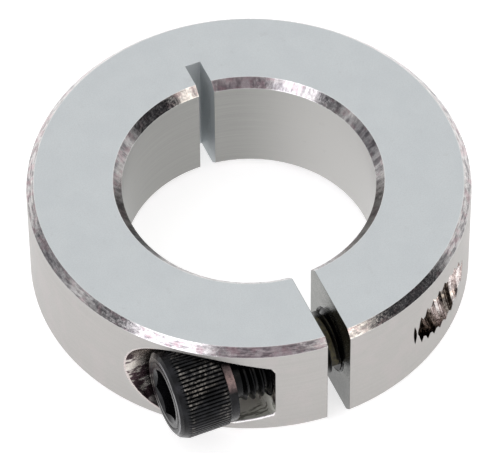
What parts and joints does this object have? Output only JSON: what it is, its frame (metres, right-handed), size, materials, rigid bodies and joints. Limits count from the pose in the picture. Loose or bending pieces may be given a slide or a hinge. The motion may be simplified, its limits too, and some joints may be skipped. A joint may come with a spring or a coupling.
{
  "type": "shaft collar",
  "caption": "One-piece clamping shaft collar: slit aluminium ring with a relief slot, closed by a tangential socket head cap screw.",
  "frame": {"origin": "middle of the bore, half way through the ring's width", "axes": "+Z along the bore; the slit is on the -Y side; the screw lies parallel to X with its head on the -X side"},
  "size_m": [0.0444, 0.0444, 0.0126],
  "materials": {
    "machined_aluminium": "matte tumbled faces, bright turned chamfers",
    "black_oxide_steel": "black oxide, semi-gloss with an oil film",
    "locking_nylon": "dull olive-yellow nylon"
  },
  "bodies": {
    "collar": {"collar_ring": "machined_aluminium"},
    "screw_travel_carrier": {"thread_locking_patch": "locking_nylon"},
    "screw": {"clamp_screw": "black_oxide_steel"}
  },
  "joints": [
    {"name": "screw_travel", "type": "slide", "parent": "collar", "child": "screw_travel_carrier", "axis": [1, 0, 0], "range_m": [-0.004, 0.00401]},
    {"name": "screw_turn", "type": "hinge", "parent": "screw_travel_carrier", "child": "screw", "pos_m": [-0.01037, -0.01735, 0], "axis": [1, 0, 0], "range_deg": [-1590, 1595]}
  ],
  "couplings": [
    {"joint": "screw_turn", "follows": "screw_travel", "rad_per_m": 6926.3}
  ]
}
